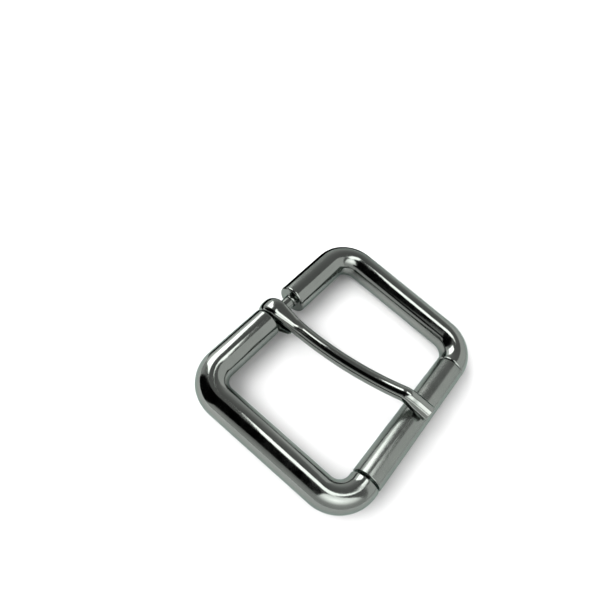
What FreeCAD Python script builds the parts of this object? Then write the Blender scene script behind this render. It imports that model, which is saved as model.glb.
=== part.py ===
"""Roller belt buckle for a 40 mm strap: a cast frame, a rolled sleeve on its front bar and a tongue
looped round the neck of its rear bar.  Millimetres.  X runs along the two bars, Y from the front bar
to the rear bar, Z up out of the face that shows when the belt is worn."""
import FreeCAD, Part
import os
from math import cos, radians, sin, sqrt, tan
from FreeCAD import Vector

# ---- frame ----
strap_width = 40.0        # clear opening along the bars
opening_length = 30.0     # clear opening from bar to bar
wire_diameter = 6.5       # round section of the frame
rear_corner_radius = 5.5  # centreline radii of the corners
front_corner_radius = 6.0
neck_diameter = 2.8       # thin middle of the rear bar
neck_length = 7.6         # between the end faces of the two rear stubs
neck_root_radius = 0.5    # hollow where the neck meets each stub
stub_rim_radius = 0.5     # rounded rim of each rear stub
shoulder_rim_radius = 0.15  # rounded rim of each shoulder beside the roller
bar_stub_length = 0.75    # full section left straight beside each end of the roller

# ---- roller ----
roller_end_play = 0.5     # all at the -X end
roller_wall = 0.9
roller_running_gap = 0.1   # radial, between the roller and the thin part of the front bar
roller_seam_gap = 0.15    # butt seam along the underside
roller_rim_radius = 0.15
face_gap = 0.06           # between faces that rub

# ---- tongue ----
tongue_diameter = 3.2     # round section along the bow
loop_thickness = 2.1      # flattened section round the neck, measured from the neck outwards
loop_width = 4.1          # the same section, measured along the neck
loop_running_gap = 0.2    # radial, between the loop and the neck
loop_leave_angle = 15.0   # where the loop ends and the shank begins, in degrees past the top
hook_end_angle = 161.0    # where the free end leaves the loop, in degrees past the top
hook_straight = 4.7       # straight run of the free end, up against the shank
hook_end_width = 3.4      # the free end thins to a wedge
hook_end_thickness = 0.8
shank_width = 3.4         # flattened section where the shank bends into the bow
shank_thickness = 2.5
shank_reach = 7.4         # from the neck's axis forward to the low end of the bow
shank_steps = 4           # stretches that the shank's bend is made of
bow_dip_angle = -5.7      # slope at the low end of the bow, in degrees
bow_rise_angle = 25.2     # slope at the high end of the bow, in degrees
knee_radius = 3.0
knee_to_seat = 5.1        # from the knee's corner to where the tip meets the roller
tip_slope = -9.5          # slope of the straight tip that lies over the roller
tip_past_seat = 1.0       # from there to the square-cut end
tip_width = 3.7           # flattened section of the tip, along X
tip_thickness = 2.9
tip_flattening = 1.6      # length over which the round section becomes the flattened one
tip_end_rounding = 0.45
tip_gap = 0.08            # between the tip and the roller
tongue_skew = 4.7         # the loop's play lets the tip lean this far towards +X, in degrees

# ---- worked out ----
wire_radius = wire_diameter / 2
half_width = (strap_width + wire_diameter) / 2        # centreline of the frame, along X
half_length = (opening_length + wire_diameter) / 2    # centreline of the frame, along Y
shoulder_x = half_width - front_corner_radius - bar_stub_length
neck_radius = neck_diameter / 2
neck_half = neck_length / 2
roller_bore_radius = wire_radius - roller_wall
journal_radius = roller_bore_radius - roller_running_gap
loop_radius = neck_radius + loop_running_gap + loop_thickness / 2
skew = radians(tongue_skew)
loop_x = face_gap - neck_half + loop_width / 2 + loop_radius * sin(skew)
bar_height = max(loop_radius + loop_thickness / 2, wire_radius)   # lowest point at Z = 0
X_AXIS = Vector(1, 0, 0)
Y_AXIS = Vector(0, 1, 0)
Z_AXIS = Vector(0, 0, 1)


def arc(centre, radius, start, end):
    """Arc in the XY plane through three points, start and end in degrees."""
    points = []
    for angle in (start, (start + end) / 2, end):
        direction = Vector(cos(radians(angle)), sin(radians(angle)), 0)
        points.append(centre + direction * radius)
    return Part.Arc(*points).toShape()


def round_rims(solid, plane_x, radius):
    """Round the full-section rim that lies in the plane x = plane_x."""
    rims = []
    for edge in solid.Edges:
        box = edge.BoundBox
        if abs(box.XMin - plane_x) < 1e-4 and abs(box.XMax - plane_x) < 1e-4:
            rims.append(edge)
    return solid.makeFillet(radius, rims)


def half_ring():
    """-X half of the ring, from the neck's stub round both corners to the roller's shoulder."""
    rear_centre = Vector(rear_corner_radius - half_width, half_length - rear_corner_radius, 0)
    front_centre = Vector(front_corner_radius - half_width, front_corner_radius - half_length, 0)
    stub_end = Vector(-neck_half, half_length, 0)
    path = Part.Wire([
        Part.LineSegment(stub_end, rear_centre + Y_AXIS * rear_corner_radius).toShape(),
        arc(rear_centre, rear_corner_radius, 90, 180),
        Part.LineSegment(rear_centre - X_AXIS * rear_corner_radius,
                         front_centre - X_AXIS * front_corner_radius).toShape(),
        arc(front_centre, front_corner_radius, 180, 270),
        Part.LineSegment(front_centre - Y_AXIS * front_corner_radius,
                         Vector(-shoulder_x, -half_length, 0)).toShape(),
    ])
    section = Part.Wire(Part.Circle(stub_end, X_AXIS, wire_radius).toShape())
    ring = path.makePipeShell([section], True, False)
    ring = round_rims(ring, -neck_half, stub_rim_radius)
    return round_rims(ring, -shoulder_x, shoulder_rim_radius)


def neck():
    """Thin middle of the rear bar, hollowed into the two end faces."""
    reach = neck_half - neck_root_radius
    flare = neck_radius + neck_root_radius
    bend = neck_root_radius * (1 - sqrt(0.5))
    outline = Part.Wire([
        Part.LineSegment(Vector(-neck_half, 0, 0), Vector(neck_half, 0, 0)).toShape(),
        Part.LineSegment(Vector(neck_half, 0, 0), Vector(neck_half, flare, 0)).toShape(),
        Part.Arc(Vector(neck_half, flare, 0),
                 Vector(neck_half - bend, neck_radius + bend, 0),
                 Vector(reach, neck_radius, 0)).toShape(),
        Part.LineSegment(Vector(reach, neck_radius, 0), Vector(-reach, neck_radius, 0)).toShape(),
        Part.Arc(Vector(-reach, neck_radius, 0),
                 Vector(bend - neck_half, neck_radius + bend, 0),
                 Vector(-neck_half, flare, 0)).toShape(),
        Part.LineSegment(Vector(-neck_half, flare, 0), Vector(-neck_half, 0, 0)).toShape(),
    ])
    return Part.Face(outline).revolve(Vector(0, 0, 0), X_AXIS, 360)


def frame():
    """Ring with a neck in its rear bar and a thin journal between shoulders in its front bar."""
    left = half_ring()
    right = left.mirror(Vector(0, 0, 0), X_AXIS)
    thin = neck()
    thin.translate(Y_AXIS * half_length)
    journal = Part.makeCylinder(journal_radius, 2 * shoulder_x,
                                Vector(-shoulder_x, -half_length, 0), X_AXIS)
    body = left.fuse([right, thin, journal])
    body.translate(Z_AXIS * bar_height)
    return body


def roller():
    """Rolled sleeve on the front bar, its butt seam underneath, pushed against the +X shoulder."""
    start = roller_end_play - shoulder_x
    length = 2 * shoulder_x - roller_end_play - face_gap
    base = Vector(start, -half_length, bar_height)
    sleeve = Part.makeCylinder(wire_radius, length, base, X_AXIS)
    sleeve = round_rims(sleeve, start, roller_rim_radius)
    sleeve = round_rims(sleeve, start + length, roller_rim_radius)
    bore = Part.makeCylinder(roller_bore_radius, length, base, X_AXIS)
    corner = base - Y_AXIS * (roller_seam_gap / 2) - Z_AXIS * wire_diameter
    seam = Part.makeBox(length, roller_seam_gap, wire_diameter, corner)
    return sleeve.cut(bore).cut(seam)


def at(reach, height):
    """Point of the tongue's side view: reach in front of the neck's axis, height above it."""
    return Vector(0, -reach, height)


def heading(slope):
    """Unit vector of the side view along a slope in degrees."""
    return at(cos(radians(slope)), sin(radians(slope)))


def upward(slope):
    """Unit vector square to a slope in the side view, on the upper side."""
    return heading(slope).cross(X_AXIS)


def oval(point, slope, width, thickness):
    """Closed oval across the tongue, its width along X."""
    turn = FreeCAD.Rotation(X_AXIS, upward(slope), heading(slope), "ZXY")
    if abs(width - thickness) < 1e-6:
        edge = Part.Circle(Vector(0, 0, 0), Z_AXIS, width / 2).toShape()
    else:
        edge = Part.Ellipse(Vector(0, 0, 0), width / 2, thickness / 2).toShape()
    edge.Placement = FreeCAD.Placement(point, turn)
    return Part.Wire(edge)


def side_arc(start, start_slope, end_slope, radius):
    """Arc of the side view from one slope to another; a rising bend has a positive radius."""
    centre = start + upward(start_slope) * radius
    points = []
    for slope in (start_slope, (start_slope + end_slope) / 2, end_slope):
        points.append(centre - upward(slope) * radius)
    return Part.Arc(*points).toShape(), points[-1]


def crossing(point_a, slope_a, point_b, slope_b):
    """Where two lines of the side view cross."""
    a = heading(slope_a)
    b = heading(slope_b)
    gap = point_b - point_a
    share = (gap.y * b.z - gap.z * b.y) / (a.y * b.z - a.z * b.y)
    return point_a + a * share


def seat_on_roller():
    """Point of the tip's axis straight over the line where it meets the roller."""
    standoff = wire_radius + tip_thickness / 2 + tip_gap
    return at(2 * half_length / cos(skew), 0) + upward(tip_slope) * standoff


def knee_start():
    """Where the bow ends and the knee begins."""
    corner = seat_on_roller() - heading(tip_slope) * knee_to_seat
    half_turn = radians(bow_rise_angle - tip_slope) / 2
    return corner - heading(bow_rise_angle) * (knee_radius * tan(half_turn))


def bow_radius():
    """Radius that takes the bow from the shank's reach to the knee between its two slopes."""
    rise = sin(radians(bow_rise_angle)) - sin(radians(bow_dip_angle))
    return (-knee_start().y - shank_reach) / rise


def bow_start():
    """Low end of the bow."""
    return knee_start() + (upward(bow_rise_angle) - upward(bow_dip_angle)) * bow_radius()


def tongue_loop():
    """Flattened loop round the neck, its free end thinned to a wedge under the shank."""
    start = upward(-loop_leave_angle) * loop_radius
    face = Part.Face(oval(start, -loop_leave_angle, loop_width, loop_thickness))
    sweep = 360 + loop_leave_angle - hook_end_angle
    ring = face.revolve(Vector(0, 0, 0), X_AXIS, -sweep)
    end_slope = 180 - hook_end_angle
    end = upward(end_slope) * -loop_radius
    thinning = upward(end_slope) * ((loop_thickness - hook_end_thickness) / 2)
    free_end = end + heading(end_slope) * hook_straight + thinning
    hook = Part.makeLoft([oval(end, end_slope, loop_width, loop_thickness),
                          oval(free_end, end_slope, hook_end_width, hook_end_thickness)],
                         True, True)
    return ring.fuse(hook)


def tongue_shank():
    """Straight flattened shank and its bend, which swells into the round bow."""
    leaving = upward(-loop_leave_angle) * loop_radius
    low = bow_start()
    corner = crossing(leaving, -loop_leave_angle, low, bow_dip_angle)
    bend_start = corner - heading(-loop_leave_angle) * (low - corner).Length
    straight = Part.makeLoft([oval(leaving, -loop_leave_angle, loop_width, loop_thickness),
                              oval(bend_start, -loop_leave_angle, shank_width, shank_thickness)],
                             True, True)
    sections = []
    for step in range(shank_steps + 1):
        share = step / shank_steps
        rest = 1 - share
        point = bend_start * rest ** 2 + corner * (2 * share * rest) + low * share ** 2
        slope = bow_dip_angle * share - loop_leave_angle * rest
        width = shank_width * rest + tongue_diameter * share
        thickness = shank_thickness * rest + tongue_diameter * share
        sections.append(oval(point, slope, width, thickness))
    return straight.fuse(Part.makeLoft(sections, True, False))


def tongue_bow():
    """Round bow and knee."""
    start = bow_start()
    bow, bow_end = side_arc(start, bow_dip_angle, bow_rise_angle, bow_radius())
    knee, knee_end = side_arc(bow_end, bow_rise_angle, tip_slope, -knee_radius)
    section = oval(start, bow_dip_angle, tongue_diameter, tongue_diameter)
    return Part.Wire([bow, knee]).makePipeShell([section], True, False), knee_end


def tongue_tip(knee_end):
    """Straight tip, flattened a little, with a square-cut end."""
    along = heading(tip_slope)
    flat_start = knee_end + along * tip_flattening
    tip_end = seat_on_roller() + along * tip_past_seat
    flat = oval(flat_start, tip_slope, tip_width, tip_thickness)
    blend = Part.makeLoft([oval(knee_end, tip_slope, tongue_diameter, tongue_diameter), flat],
                          True, True)
    tip = Part.Face(flat).extrude(tip_end - flat_start)
    square_end = min(tip.Faces, key=lambda side: side.CenterOfMass.y)
    return blend.fuse(tip.makeFillet(tip_end_rounding, square_end.Edges))


def tongue():
    """Looped prong, lying over the roller and leaning a little within the loop's play."""
    bow, knee_end = tongue_bow()
    prong = tongue_loop().fuse([tongue_shank(), bow, tongue_tip(knee_end)])
    prong.rotate(Vector(0, 0, 0), Z_AXIS, tongue_skew)
    prong.translate(Vector(loop_x, half_length, bar_height))
    return prong


os.makedirs("parts", exist_ok=True)
for name, make in (("buckle_frame", frame), ("roller", roller), ("tongue", tongue)):
    shape = make().removeSplitter()
    solid = shape.Solids[0] if len(shape.Solids) == 1 else shape
    print(name, len(shape.Solids), solid.isValid(), round(solid.Volume, 1), solid.BoundBox)
    solid.exportStep("parts/" + name + ".step")
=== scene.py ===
"""Roller belt buckle in gunmetal nickel: the looks.  Lengths below are in millimetres until a mesh is
made; X runs along the two bars, Y from the front bar to the rear bar, Z up."""
import bpy
from math import ceil, cos, degrees, pi, radians, sin, tan
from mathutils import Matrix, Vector


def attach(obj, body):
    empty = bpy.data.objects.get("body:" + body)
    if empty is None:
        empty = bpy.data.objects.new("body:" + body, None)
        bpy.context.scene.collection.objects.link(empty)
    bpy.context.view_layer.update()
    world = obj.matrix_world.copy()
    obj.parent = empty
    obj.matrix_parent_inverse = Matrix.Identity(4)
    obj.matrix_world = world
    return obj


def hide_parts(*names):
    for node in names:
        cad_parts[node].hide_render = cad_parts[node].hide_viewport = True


MM = 0.001

# ---- frame ----
strap_width = 40.0
opening_length = 30.0
wire_radius = 3.25
rear_corner_radius = 5.5
front_corner_radius = 6.0
neck_radius = 1.4
neck_half = 3.8
neck_root_radius = 0.5
stub_rim_radius = 0.5
# rims of the two shoulders: the -X one, and the +X one that the roller sits against
shoulder_rim_radius = 0.22
seat_rim_radius = 0.55
shoulder_x = 16.5
journal_radius = 2.25
# height of both bars' axes above the table
bar_height = 3.7

# ---- roller ----
roller_start = -16.0
roller_end = 16.44
roller_bore_radius = 2.35
roller_rim_radius = 0.22
roller_lip_radius = 0.12
roller_seam_gap = 0.15

# ---- tongue ----
tongue_diameter = 3.2
loop_thickness = 2.1
loop_width = 4.1
loop_radius = 2.65
loop_leave_angle = 15.0
hook_end_angle = 161.0
hook_straight = 4.7
hook_end_width = 3.4
hook_end_thickness = 0.8
hook_end_rounding = 0.3
shank_width = 3.15
shank_thickness = 2.5
shank_reach = 7.4
# an oval's power is 2; a higher one squares the section
oval_power = 2.0
shank_power = 2.8
bow_dip_angle = -5.7
bow_rise_angle = 25.2
knee_radius = 3.0
knee_to_seat = 5.1
tip_slope = -9.5
tip_past_seat = 1.0
tip_width = 3.7
tip_thickness = 2.9
tip_flattening = 1.6
tip_end_rounding = 0.45
tip_gap = 0.08
tongue_skew = 4.7
# flats of the tip's section: direction in degrees from +X, distance from the axis
tip_flats = ((0, 1.85), (42, 1.62), (90, 1.4), (119, 1.27), (140, 1.316), (170, 1.56),
             (235, 1.62), (270, 1.42), (315, 1.65))
flat_sharpness = 28
# fine groove along the tip, between two of its flats
groove_direction = 135
groove_spread = 3.8
groove_depth = 0.14
# share of the flats that has come in by the end of the knee
knee_flats = 0.45
loop_x = -1.473

# ---- fineness of the meshes ----
sides = 96
fillet_steps = 6
bow_steps = 48
bend_steps = 14
knee_steps = 14
ring_spacing = 0.6
corner_spacing = ring_spacing / 2
loop_spacing = ring_spacing / 3
edge_spacing = 0.04
# rows of a flat end, as shares of the way from its middle to its rounded edge
end_shares = (0.02, 0.35, 0.7, 0.97)

# ---- plating: colours, roughness from shiniest to dullest, heights in millimetres ----
mirror_tint = (0.57, 0.67, 0.64, 1)
bright_tones = ((0.18, 0.195, 0.181), (0.212, 0.224, 0.209))
bright_gloss = (0.07, 0.15)
bright_ripple = 0.010
bright_grain = 0.0004
satin_tones = ((0.172, 0.188, 0.174), (0.204, 0.217, 0.201))
satin_gloss = (0.19, 0.26)
satin_ripple = 0.005
satin_grain = 0.0006
pit_share = 0.32
# noise lies mostly between these two values
noise_low = 0.3
noise_high = 0.7
# features per millimetre
patch_scale = 0.12
haze_scale = 0.5
wave_scale = 0.45
pit_scale = 1.5
mark_scale = 5.0
mark_stretch = (1, 0.6, 0.6)

# ---- table ----
table_reach = 3
table_dark = (0.86, 0.86, 0.86)
table_light = (0.88, 0.88, 0.88)
table_roughness = 0.9
table_cloud_scale = 0.01

# ---- studio, in metres: strengths of what glows, and the drape ----
tall_glow = 6.5
skirt_glow = 1.9
top_glow = 5.2
wide_glow = 5.2
wide_edge_glow = 1.0
wide_centre = (-0.42, -0.5, 1, 1.45)
fill_glow = 1.25
drape_columns = 24
drape_distance = 2

half_width = strap_width / 2 + wire_radius
half_length = opening_length / 2 + wire_radius

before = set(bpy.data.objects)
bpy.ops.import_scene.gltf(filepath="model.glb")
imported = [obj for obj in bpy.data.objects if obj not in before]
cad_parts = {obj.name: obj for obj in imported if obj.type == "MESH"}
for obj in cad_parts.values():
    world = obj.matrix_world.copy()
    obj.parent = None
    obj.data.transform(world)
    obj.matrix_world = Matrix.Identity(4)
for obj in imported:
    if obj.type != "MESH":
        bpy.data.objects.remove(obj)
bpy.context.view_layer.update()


# ================= meshes =================
def add_object(name, data):
    """New object in the scene."""
    made = bpy.data.objects.new(name, data)
    bpy.context.scene.collection.objects.link(made)
    return made


def plain_mesh(name, points, faces):
    """Mesh from points in metres."""
    mesh = bpy.data.meshes.new(name)
    mesh.from_pydata(points, [], faces)
    return mesh


def mesh_object(name, points, faces):
    """Smooth-shaded object from points in millimetres."""
    mesh = plain_mesh(name, [tuple(value * MM for value in point) for point in points], faces)
    mesh.validate()
    for polygon in mesh.polygons:
        polygon.use_smooth = True
    return add_object(name, mesh)


def bridge(rows, closed):
    """Quads between neighbouring rows of points that each run round a section."""
    count = len(rows[0])
    points = [point for row in rows for point in row]
    faces = []
    for row in range(len(rows) if closed else len(rows) - 1):
        near = row * count
        far = (row + 1) % len(rows) * count
        for k in range(count):
            step = (k + 1) % count
            faces.append((near + k, near + step, far + step, far + k))
    return points, faces


def spread(start, end, edge=edge_spacing):
    """Positions from start to end, close together at both ends so that the shading stays true."""
    length = end - start
    inner = max(1, ceil(abs(length) / ring_spacing))
    shares = [k / inner for k in range(inner + 1)]
    if abs(length) > 4 * edge:
        shares = sorted(shares + [edge / abs(length), 1 - edge / abs(length)])
    return [start + length * share for share in shares]


def ring_row(centre, outward, radius):
    """Circle of the frame's section: outward is level and square to the path."""
    row = []
    for k in range(sides):
        angle = 2 * pi * k / sides
        row.append(centre + outward * (radius * cos(angle)) + Vector((0, 0, radius * sin(angle))))
    return row


def rear_bar_profile():
    """x and radius along the +X half of the rear bar, from the neck to the corner."""
    reach = neck_half - neck_root_radius
    flare = neck_radius + neck_root_radius
    profile = [(x, neck_radius) for x in spread(0, reach)]
    for k in range(1, fillet_steps + 1):
        turn = pi / 2 * k / fillet_steps
        profile.append((reach + neck_root_radius * sin(turn),
                        flare - neck_root_radius * cos(turn)))
    for radius in spread(flare, wire_radius - stub_rim_radius)[1:]:
        profile.append((neck_half, radius))
    for k in range(1, fillet_steps + 1):
        turn = pi / 2 * k / fillet_steps
        profile.append((neck_half + stub_rim_radius * (1 - cos(turn)),
                        wire_radius - stub_rim_radius * (1 - sin(turn))))
    for x in spread(neck_half + stub_rim_radius, half_width - rear_corner_radius)[1:]:
        profile.append((x, wire_radius))
    return profile


def front_bar_profile(rim):
    """x and radius along the +X half of the front bar, from the corner to the middle."""
    profile = [(x, wire_radius) for x in spread(half_width - front_corner_radius, shoulder_x + rim)]
    for k in range(1, fillet_steps + 1):
        turn = pi / 2 * k / fillet_steps
        profile.append((shoulder_x + rim * (1 - sin(turn)), wire_radius - rim * (1 - cos(turn))))
    for radius in spread(wire_radius - rim, journal_radius)[1:]:
        profile.append((shoulder_x, radius))
    for x in spread(shoulder_x, 0)[1:]:
        profile.append((x, journal_radius))
    return profile


def corner_rows(centre, radius, start, end):
    """Rows round one corner; the two end rows are left to the bars."""
    steps = ceil(radius * pi / 2 / corner_spacing)
    rows = []
    for k in range(1, steps):
        angle = start + (end - start) * k / steps
        outward = Vector((cos(angle), sin(angle), 0))
        rows.append(ring_row(centre + outward * radius, outward, wire_radius))
    return rows


def half_frame(rim):
    """Rows of the +X half: neck, stub, corner, side, corner, rimmed shoulder and journal."""
    rows = []
    for x, radius in rear_bar_profile():
        rows.append(ring_row(Vector((x, half_length, bar_height)), Vector((0, 1, 0)), radius))
    rear_y = half_length - rear_corner_radius
    rows += corner_rows(Vector((half_width - rear_corner_radius, rear_y, bar_height)),
                        rear_corner_radius, pi / 2, 0)
    front_y = front_corner_radius - half_length
    for y in spread(rear_y, front_y):
        rows.append(ring_row(Vector((half_width, y, bar_height)), Vector((1, 0, 0)), wire_radius))
    rows += corner_rows(Vector((half_width - front_corner_radius, front_y, bar_height)),
                        front_corner_radius, 0, -pi / 2)
    for x, radius in front_bar_profile(rim):
        rows.append(ring_row(Vector((x, -half_length, bar_height)), Vector((0, -1, 0)), radius))
    return rows


def frame_piece():
    """The whole ring as one swept skin; only the shoulders' rims differ from side to side."""
    rows = half_frame(seat_rim_radius)
    other = half_frame(shoulder_rim_radius)
    mirrored = [[Vector((-p.x, p.y, p.z)) for p in row] for row in other[-2:0:-1]]
    points, faces = bridge(rows + mirrored, True)
    return mesh_object("frame_skin", points, faces)


def sleeve_section(inset):
    """Closed outline of the roller's section about its axis, drawn in by an inset at the rims."""
    lip = roller_lip_radius
    outline = []
    middle = (wire_radius + roller_bore_radius) / 2
    half_gap = roller_seam_gap / 2 / middle
    lip_turn = lip / wire_radius
    for k in range(sides + 1):
        angle = half_gap + lip_turn + (2 * pi - 2 * half_gap - 2 * lip_turn) * k / sides
        outline.append((angle, wire_radius - inset))
    for k in range(1, fillet_steps + 1):
        turn = pi / 2 * k / fillet_steps
        outline.append((2 * pi - half_gap - lip_turn * (1 - sin(turn)),
                        wire_radius - inset - lip * (1 - cos(turn))))
    outline.append((2 * pi - half_gap, roller_bore_radius + inset / 2))
    for k in range(sides + 1):
        angle = 2 * pi - half_gap - (2 * pi - 2 * half_gap) * k / sides
        outline.append((angle, roller_bore_radius + inset / 2))
    for k in range(fillet_steps, 0, -1):
        turn = pi / 2 * k / fillet_steps
        outline.append((half_gap + lip_turn * (1 - sin(turn)),
                        wire_radius - inset - lip * (1 - cos(turn))))
    return outline


def sleeve_row(x, inset):
    """One row of the roller's skin; the seam looks straight down."""
    row = []
    for angle, radius in sleeve_section(inset):
        row.append(Vector((x, -half_length - radius * sin(angle), bar_height - radius * cos(angle))))
    return row


def roller_piece():
    """Rolled sleeve with a butt seam and softly rounded rims."""
    rim = roller_rim_radius
    stations = [(roller_start + rim * (1 - cos(pi / 2 * k / fillet_steps)),
                 rim * (1 - sin(pi / 2 * k / fillet_steps))) for k in range(fillet_steps + 1)]
    stations += [(x, 0) for x in spread(roller_start + rim, roller_end - rim)[1:]]
    stations += [(roller_end - rim * (1 - sin(pi / 2 * k / fillet_steps)),
                  rim * (1 - cos(pi / 2 * k / fillet_steps))) for k in range(1, fillet_steps + 1)]
    rows = [sleeve_row(x, inset) for x, inset in stations]
    points, faces = bridge(rows, False)
    count = len(rows[0])
    outer = sides + 1
    inner_start = outer + fillet_steps + 1
    last = (len(rows) - 1) * count
    for base, flip in ((0, False), (last, True)):
        for k in range(sides):
            a = base + k
            b = base + k + 1
            c = base + inner_start + sides - k - 1
            d = base + inner_start + sides - k
            faces.append((a, b, c, d) if flip else (a, d, c, b))
        first_lip = [base + outer - 1 + k for k in range(fillet_steps + 3)]
        second_lip = [base + inner_start + sides + k for k in range(fillet_steps + 1)] + [base]
        for lip in (first_lip, second_lip):
            faces.append(tuple(lip if flip else lip[::-1]))
    return mesh_object("roller_skin", points, faces)


# ---- tongue: a side view along "reach" (forward from the neck's axis) and height ----
def at(reach, height):
    """Point of the side view."""
    return Vector((0, -reach, height))


def heading(slope):
    """Unit vector forward along a slope in degrees."""
    return at(cos(radians(slope)), sin(radians(slope)))


def upward(slope):
    """Unit vector square to a slope, on its upper side."""
    return heading(slope).cross(Vector((1, 0, 0)))


def crossing(point_a, slope_a, point_b, slope_b):
    """Where two lines of the side view cross."""
    a = heading(slope_a)
    b = heading(slope_b)
    gap = point_b - point_a
    return point_a + a * ((gap.y * b.z - gap.z * b.y) / (a.y * b.z - a.z * b.y))


def seat_on_roller():
    """Middle of the tip's section where it lies on the roller."""
    standoff = wire_radius + tip_thickness / 2 + tip_gap
    return at(2 * half_length / cos(radians(tongue_skew)), 0) + upward(tip_slope) * standoff


def knee_start():
    """Where the bow ends and the knee begins."""
    corner = seat_on_roller() - heading(tip_slope) * knee_to_seat
    half_turn = radians(bow_rise_angle - tip_slope) / 2
    return corner - heading(bow_rise_angle) * (knee_radius * tan(half_turn))


def bow_radius():
    """Radius that takes the bow from the end of the shank to the knee."""
    rise = sin(radians(bow_rise_angle)) - sin(radians(bow_dip_angle))
    return (-knee_start().y - shank_reach) / rise


def section_reach(angle, half_width, half_thickness, flats, power):
    """Distance from a section's centre to its outline: an oval, turning into the tip's flats."""
    across = abs(cos(angle)) / half_width
    up = abs(sin(angle)) / half_thickness
    oval = (across ** power + up ** power) ** (-1 / power)
    if not flats:
        return oval
    total = 0.0
    for direction, distance in tip_flats:
        total += max(0.0, cos(angle - radians(direction)) / distance) ** flat_sharpness
    groove = max(0.0, 1 - abs(degrees(angle) - groove_direction) / groove_spread)
    return oval + (total ** (-1 / flat_sharpness) - groove_depth * groove - oval) * flats


def oval_row(point, slope, width, thickness, inset=0.0, flats=0.0, power=oval_power):
    """Section of the tongue, its width along X."""
    row = []
    up = upward(slope)
    for k in range(sides):
        angle = 2 * pi * k / sides
        reach = section_reach(angle, width / 2, thickness / 2, flats, power) - inset
        row.append(point + Vector((reach * cos(angle), 0, 0)) + up * (reach * sin(angle)))
    return row


def end_rows(point, slope, width, thickness, rounding, flats=0.0):
    """Flat end with a rounded edge, from its middle outwards, facing along the heading."""
    rows = []
    for share in end_shares:
        inset = rounding + (thickness / 2 - rounding) * (1 - share)
        rows.append(oval_row(point, slope, width, thickness, inset, flats))
    for k in range(fillet_steps + 1):
        turn = pi / 2 * k / fillet_steps
        back = rounding * (1 - cos(turn))
        rows.append(oval_row(point - heading(slope) * back, slope, width, thickness,
                             rounding * (1 - sin(turn)), flats))
    return rows


def eased(share):
    """Share of a change that starts and ends gently."""
    return share * share * (3 - 2 * share)


def hook_rows():
    """Rows of the free end, from its thin edge to the loop, turned to face the loop's way."""
    slope = 180 - hook_end_angle
    loop_end = upward(slope) * -loop_radius
    thinning = upward(slope) * ((loop_thickness - hook_end_thickness) / 2)
    free_end = loop_end + heading(slope) * hook_straight + thinning
    rows = end_rows(free_end, slope, hook_end_width, hook_end_thickness, hook_end_rounding)
    for back in spread(hook_end_rounding, hook_straight)[1:]:
        rest = 1 - back / hook_straight
        point = loop_end + (free_end - loop_end) * rest
        width = loop_width + (hook_end_width - loop_width) * rest
        thickness = loop_thickness + (hook_end_thickness - loop_thickness) * rest
        rows.append(oval_row(point, slope, width, thickness))
    return [[row[-k % sides] for k in range(sides)] for row in rows]


def loop_rows():
    """Rows round the neck, from under it up the back and over the top, where they turn square."""
    start = 360 - hook_end_angle
    steps = ceil(radians(start + loop_leave_angle) * loop_radius / loop_spacing)
    rows = []
    for k in range(1, steps + 1):
        slope = start - (start + loop_leave_angle) * k / steps
        second_half = max(0.0, 2 * k / steps - 1)
        power = oval_power + (shank_power - oval_power) * eased(second_half)
        rows.append(oval_row(upward(slope) * loop_radius, slope, loop_width, loop_thickness,
                             power=power))
    return rows


def shank_rows(low):
    """Rows of the straight, squared shank and of its bend into the round bow."""
    leaving = upward(-loop_leave_angle) * loop_radius
    corner = crossing(leaving, -loop_leave_angle, low, bow_dip_angle)
    bend_start = corner - heading(-loop_leave_angle) * (low - corner).length
    rows = []
    length = (bend_start - leaving).length
    for run in spread(0, length)[1:]:
        share = run / length
        width = loop_width + (shank_width - loop_width) * share
        thickness = loop_thickness + (shank_thickness - loop_thickness) * share
        rows.append(oval_row(leaving + heading(-loop_leave_angle) * run, -loop_leave_angle,
                             width, thickness, power=shank_power))
    for k in range(1, bend_steps + 1):
        share = k / bend_steps
        rest = 1 - share
        point = bend_start * rest ** 2 + corner * (2 * share * rest) + low * share ** 2
        slope = bow_dip_angle * share - loop_leave_angle * rest
        width = shank_width + (tongue_diameter - shank_width) * eased(share)
        thickness = shank_thickness + (tongue_diameter - shank_thickness) * eased(share)
        power = shank_power + (oval_power - shank_power) * eased(share)
        rows.append(oval_row(point, slope, width, thickness, power=power))
    return rows


def bow_rows(centre, radius):
    """Rows of the long hollow bow."""
    rows = []
    for k in range(1, bow_steps + 1):
        slope = bow_dip_angle + (bow_rise_angle - bow_dip_angle) * k / bow_steps
        rows.append(oval_row(centre - upward(slope) * radius, slope,
                             tongue_diameter, tongue_diameter))
    return rows


def tip_rows(knee):
    """Rows of the knee and of the tip, which has flats and a square-cut end."""
    rows = []
    centre = knee - upward(bow_rise_angle) * knee_radius
    for k in range(1, knee_steps + 1):
        slope = bow_rise_angle + (tip_slope - bow_rise_angle) * k / knee_steps
        point = centre + upward(slope) * knee_radius
        rows.append(oval_row(point, slope, tongue_diameter, tongue_diameter, 0.0,
                             knee_flats * eased(k / knee_steps)))
    knee_end = centre + upward(tip_slope) * knee_radius
    tip_end = seat_on_roller() + heading(tip_slope) * tip_past_seat
    straight = (tip_end - knee_end).length
    for run in spread(0, straight - tip_end_rounding)[1:]:
        share = eased(min(1.0, run / tip_flattening))
        width = tongue_diameter + (tip_width - tongue_diameter) * share
        thickness = tongue_diameter + (tip_thickness - tongue_diameter) * share
        rows.append(oval_row(knee_end + heading(tip_slope) * run, tip_slope, width, thickness,
                             0.0, knee_flats + (1 - knee_flats) * share))
    cap = end_rows(tip_end, tip_slope, tip_width, tip_thickness, tip_end_rounding, 1.0)
    return rows + cap[::-1][1:]


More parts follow.
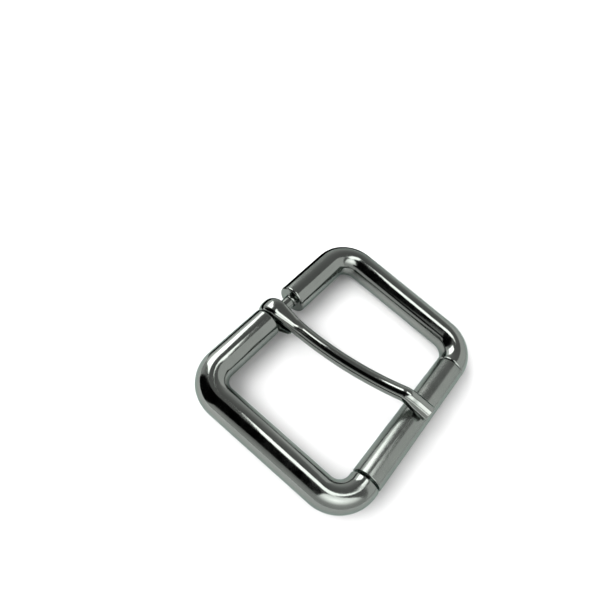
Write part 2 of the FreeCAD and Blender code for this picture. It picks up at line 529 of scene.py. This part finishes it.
def tongue_rows():
    """Rows from the hook's free end round the loop and along the prong to the tip."""
    knee = knee_start()
    radius = bow_radius()
    centre = knee + upward(bow_rise_angle) * radius
    low = centre - upward(bow_dip_angle) * radius
    return hook_rows() + loop_rows() + shank_rows(low) + bow_rows(centre, radius) + tip_rows(knee)


def tongue_piece():
    """Tongue from its free end to its tip, turned askew and set on the neck."""
    rows = tongue_rows()
    lean = radians(tongue_skew)
    placed = []
    for row in rows:
        placed.append([Vector((loop_x + p.x * cos(lean) - p.y * sin(lean),
                               half_length + p.x * sin(lean) + p.y * cos(lean),
                               bar_height + p.z)) for p in row])
    points, faces = bridge(placed, False)
    faces.append(tuple(range(sides))[::-1])
    last = (len(placed) - 1) * sides
    faces.append(tuple(range(last, last + sides)))
    return mesh_object("tongue_skin", points, faces)


# ================= materials =================
def fill_ramp(ramp, stops):
    """Set a colour ramp's (position, colour) stops."""
    elements = ramp.color_ramp.elements
    while len(elements) < len(stops):
        elements.new(0.5)
    for element, (position, colour) in zip(elements, stops):
        element.position = position
        element.color = (*colour, 1)


class Nodes:
    """Short way to add and link shader nodes."""

    def __init__(self, name):
        self.material = bpy.data.materials.new(name)
        self.material.use_nodes = True
        self.tree = self.material.node_tree
        self.shader = self.tree.nodes["Principled BSDF"]
        self.place = self.tree.nodes.new("ShaderNodeTexCoord").outputs["Object"]

    def add(self, kind, **settings):
        node = self.tree.nodes.new(kind)
        for key, value in settings.items():
            if key in node.inputs:
                node.inputs[key].default_value = value
            else:
                setattr(node, key, value)
        return node

    def link(self, source, target):
        self.tree.links.new(source, target)

    def noise(self, scale, detail=2.0, stretch=(1, 1, 1)):
        """Noise whose scale is in features per millimetre."""
        mapping = self.add("ShaderNodeMapping")
        mapping.inputs["Scale"].default_value = tuple(scale * 1000 * s for s in stretch)
        self.link(self.place, mapping.inputs["Vector"])
        noise = self.add("ShaderNodeTexNoise", Scale=1.0, Detail=detail, Roughness=0.55)
        self.link(mapping.outputs["Vector"], noise.inputs["Vector"])
        return noise.outputs["Fac"]

    def ramp(self, source, stops):
        """Colour ramp through (position, colour) stops."""
        ramp = self.add("ShaderNodeValToRGB")
        fill_ramp(ramp, stops)
        self.link(source, ramp.inputs["Fac"])
        return ramp.outputs["Color"]

    def between(self, source, low, high):
        """Map noise onto a range of values."""
        spread_out = self.add("ShaderNodeMapRange")
        spread_out.inputs["From Min"].default_value = noise_low
        spread_out.inputs["From Max"].default_value = noise_high
        spread_out.inputs["To Min"].default_value = low
        spread_out.inputs["To Max"].default_value = high
        self.link(source, spread_out.inputs["Value"])
        return spread_out.outputs["Result"]

    def bump(self, source, distance, after=None):
        """Bump whose height is in millimetres."""
        bump = self.add("ShaderNodeBump", Strength=1.0, Distance=distance * MM)
        self.link(source, bump.inputs["Height"])
        if after:
            self.link(after, bump.inputs["Normal"])
        return bump.outputs["Normal"]


def plating(name, tones, gloss, ripple, grain):
    """Gunmetal nickel: tint, polish and surface all vary a little.

    ripple and grain are the heights of the long casting waves and of the fine polishing marks."""
    nodes = Nodes(name)
    nodes.shader.inputs["Metallic"].default_value = 1.0
    nodes.shader.inputs["Specular Tint"].default_value = mirror_tint
    patches = nodes.noise(patch_scale, 3.0)
    stops = ((noise_low, tones[0]), (noise_high, tones[1]))
    nodes.link(nodes.ramp(patches, stops), nodes.shader.inputs["Base Color"])
    haze = nodes.noise(haze_scale, 4.0)
    nodes.link(nodes.between(haze, *gloss), nodes.shader.inputs["Roughness"])
    waves = nodes.bump(nodes.noise(wave_scale, 1.0), ripple)
    pits = nodes.bump(nodes.noise(pit_scale, 2.0), ripple * pit_share, waves)
    marks = nodes.bump(nodes.noise(mark_scale, 3.0, mark_stretch), grain, pits)
    nodes.link(marks, nodes.shader.inputs["Normal"])
    return nodes.material


def floor_material():
    """Matt white, very slightly clouded."""
    nodes = Nodes("white_table")
    nodes.shader.inputs["Roughness"].default_value = table_roughness
    nodes.shader.inputs["Specular IOR Level"].default_value = 0.1
    cloud = nodes.noise(table_cloud_scale, 2.0)
    stops = ((noise_low, table_dark), (noise_high, table_light))
    nodes.link(nodes.ramp(cloud, stops), nodes.shader.inputs["Base Color"])
    return nodes.material


# ================= studio =================
def hide_from_view(made, lights):
    """Studio gear shows in the metal's reflections only, unless it lights the table as well."""
    made.visible_camera = False
    made.visible_shadow = False
    made.visible_diffuse = lights


def glow_material(name, strength, centre=None, edge=0.0):
    """Even glow, or one that fades from a centre (x, y, z, reach) to the edge's strength."""
    material = bpy.data.materials.new(name)
    material.use_nodes = True
    tree = material.node_tree
    tree.nodes.clear()
    emission = tree.nodes.new("ShaderNodeEmission")
    emission.inputs["Strength"].default_value = strength
    output = tree.nodes.new("ShaderNodeOutputMaterial")
    tree.links.new(emission.outputs["Emission"], output.inputs["Surface"])
    if centre:
        place = tree.nodes.new("ShaderNodeTexCoord")
        mapping = tree.nodes.new("ShaderNodeMapping")
        mapping.vector_type = "TEXTURE"
        mapping.inputs["Location"].default_value = centre[:3]
        mapping.inputs["Scale"].default_value = (centre[3],) * 3
        ball = tree.nodes.new("ShaderNodeTexGradient")
        ball.gradient_type = "QUADRATIC_SPHERE"
        scale = tree.nodes.new("ShaderNodeMapRange")
        scale.inputs["To Min"].default_value = edge
        scale.inputs["To Max"].default_value = strength
        tree.links.new(place.outputs["Object"], mapping.inputs["Vector"])
        tree.links.new(mapping.outputs["Vector"], ball.inputs["Vector"])
        tree.links.new(ball.outputs["Fac"], scale.inputs["Value"])
        tree.links.new(scale.outputs["Result"], emission.inputs["Strength"])
    return material


def panel(name, corners, material, lights=True):
    """Flat four-cornered piece of studio gear."""
    mesh = plain_mesh(name, corners, [(0, 1, 2, 3)])
    mesh.materials.append(material)
    hide_from_view(add_object(name, mesh), lights)


def dark_drape():
    """Unlit drape over the back left.  Each edge is (height, from, to) in degrees of the sky."""
    edges = ((1, 112, 150), (9, 108, 156), (20, 107, 162), (33, 106, 167), (43, 104, 178),
             (60, 101, 185), (72, 97, 194), (80, 92, 206), (86, 88, 232))
    points = []
    faces = []
    for height, start, end in edges:
        for i in range(drape_columns + 1):
            turn = radians(start + (end - start) * i / drape_columns)
            level = drape_distance * cos(radians(height))
            points.append((level * cos(turn), level * sin(turn),
                           drape_distance * sin(radians(height))))
    for j in range(len(edges) - 1):
        for i in range(drape_columns):
            low = j * (drape_columns + 1) + i
            high = low + drape_columns + 1
            faces.append((low, low + 1, high + 1, high))
    mesh = plain_mesh("drape", points, faces)
    mesh.materials.append(glow_material("unlit", 0.0))
    hide_from_view(add_object("drape", mesh), False)


def soft_sky():
    """Pale surroundings, darker overhead."""
    world = bpy.data.worlds.new("studio")
    bpy.context.scene.world = world
    world.use_nodes = True
    tree = world.node_tree
    place = tree.nodes.new("ShaderNodeTexCoord")
    split = tree.nodes.new("ShaderNodeSeparateXYZ")
    ramp = tree.nodes.new("ShaderNodeValToRGB")
    tones = ((0.0, 1.0), (0.3, 0.82), (0.6, 0.45), (0.85, 0.3))
    fill_ramp(ramp, [(position, (tone, tone, tone)) for position, tone in tones])
    tree.links.new(place.outputs["Generated"], split.inputs["Vector"])
    tree.links.new(split.outputs["Z"], ramp.inputs["Fac"])
    tree.links.new(ramp.outputs["Color"], tree.nodes["Background"].inputs["Color"])


def make_lights():
    """Soft boxes: a tall one behind with a dimmer skirt, a small one overhead, a wide graded one
    to the front left and a dim one to the right; a black sheet on the table behind the buckle,
    seen only in the metal, as painted shade for another object and its shadow on the table;
    and the dark body of the camera, close above the left side."""
    panel("tall_box", ((0.0, 1, 0.42), (0.6, 1, 0.42), (0.52, 1, 1.5), (0.0, 1, 1.5)),
          glow_material("tall_glow", tall_glow))
    panel("tall_box_skirt", ((0.05, 1, 0.12), (0.6, 1, 0.12), (0.6, 1, 0.42), (0.0, 1, 0.42)),
          glow_material("skirt_glow", skirt_glow))
    panel("top_box", ((-0.022, -0.075, 0.3), (0.07, -0.075, 0.3),
                      (0.105, 0.06, 0.3), (-0.005, 0.03, 0.3)),
          glow_material("top_glow", top_glow), False)
    panel("wide_box", ((-2.6, -2.6, 1), (0.02, -2.6, 1), (0.02, -0.19, 1), (-2.6, -0.13, 1)),
          glow_material("wide_glow", wide_glow, wide_centre, wide_edge_glow), False)
    panel("fill_box", ((0.28, -9, 1), (9, -9, 1), (9, 1.2, 1), (0.28, -0.32, 1)),
          glow_material("fill_glow", fill_glow), False)
    # dark sheet seen only in the metal: painted shade that stands in for another object and the
    # shadow it throws on the table
    panel("reflected_shade_sheet", ((-0.015, 0.033, 0.0005), (0.07, 0.008, 0.0005),
                         (0.09, 0.06, 0.004), (-0.015, 0.06, 0.004)),
          glow_material("card", 0.0), False)
    panel("camera_body", ((-0.077, -0.02, 0.05), (-0.035, -0.02, 0.05),
                          (-0.035, 0.04, 0.05), (-0.077, 0.04, 0.05)),
          glow_material("body", 0.0), False)


def lamp(name, turn, height, width, power):
    """Square soft light, one metre off, that shows in no reflection."""
    data = bpy.data.lights.new(name, "AREA")
    data.size = width
    data.energy = power
    made = add_object(name, data)
    level = cos(radians(height))
    place = Vector((level * cos(radians(turn)), level * sin(radians(turn)), sin(radians(height))))
    made.location = place
    made.rotation_euler = place.to_track_quat("Z", "Y").to_euler()
    made.visible_glossy = False
    made.visible_camera = False


def make_floor():
    """Table that the buckle lies on."""
    reach = table_reach
    corners = [(-reach, -reach, 0), (reach, -reach, 0), (reach, reach, 0), (-reach, reach, 0)]
    mesh = plain_mesh("table", corners, [(0, 1, 2, 3)])
    mesh.materials.append(floor_material())
    table = add_object("table", mesh)


def make_camera():
    """Camera at the photograph's viewing angle, fitted to both buckles' outlines."""
    data = bpy.data.cameras.new("camera")
    data.sensor_width = 36
    data.lens = 26.66
    data.shift_x = -0.0589
    data.shift_y = 0.0818
    data.clip_start = 0.005
    camera = add_object("camera", data)
    camera.location = (-0.04375, -0.0061, 0.0878)
    camera.rotation_euler = (radians(25.61), radians(-13.80), radians(-51.46))
    bpy.context.scene.camera = camera


# ================= assembly =================
bright_plating = plating("bright_plating", bright_tones, bright_gloss, bright_ripple, bright_grain)
satin_plating = plating("satin_plating", satin_tones, satin_gloss, satin_ripple, satin_grain)

pieces = (("buckle_frame", "frame", "frame_plating", frame_piece, bright_plating),
          ("roller", "roller", "roller_plating", roller_piece, satin_plating),
          ("tongue", "tongue", "tongue_plating", tongue_piece, bright_plating))
for node, body, slot, make, finish in pieces:
    piece = make()
    piece.data.materials.append(finish)
    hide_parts(node)
    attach(piece, body)

make_floor()
soft_sky()
make_lights()
lamp("key", 140, 42, 0.8, 13.0)
lamp("overhead", 0, 90, 2.4, 6.0)
dark_drape()
make_camera()
bpy.context.scene.view_settings.view_transform = "Standard"
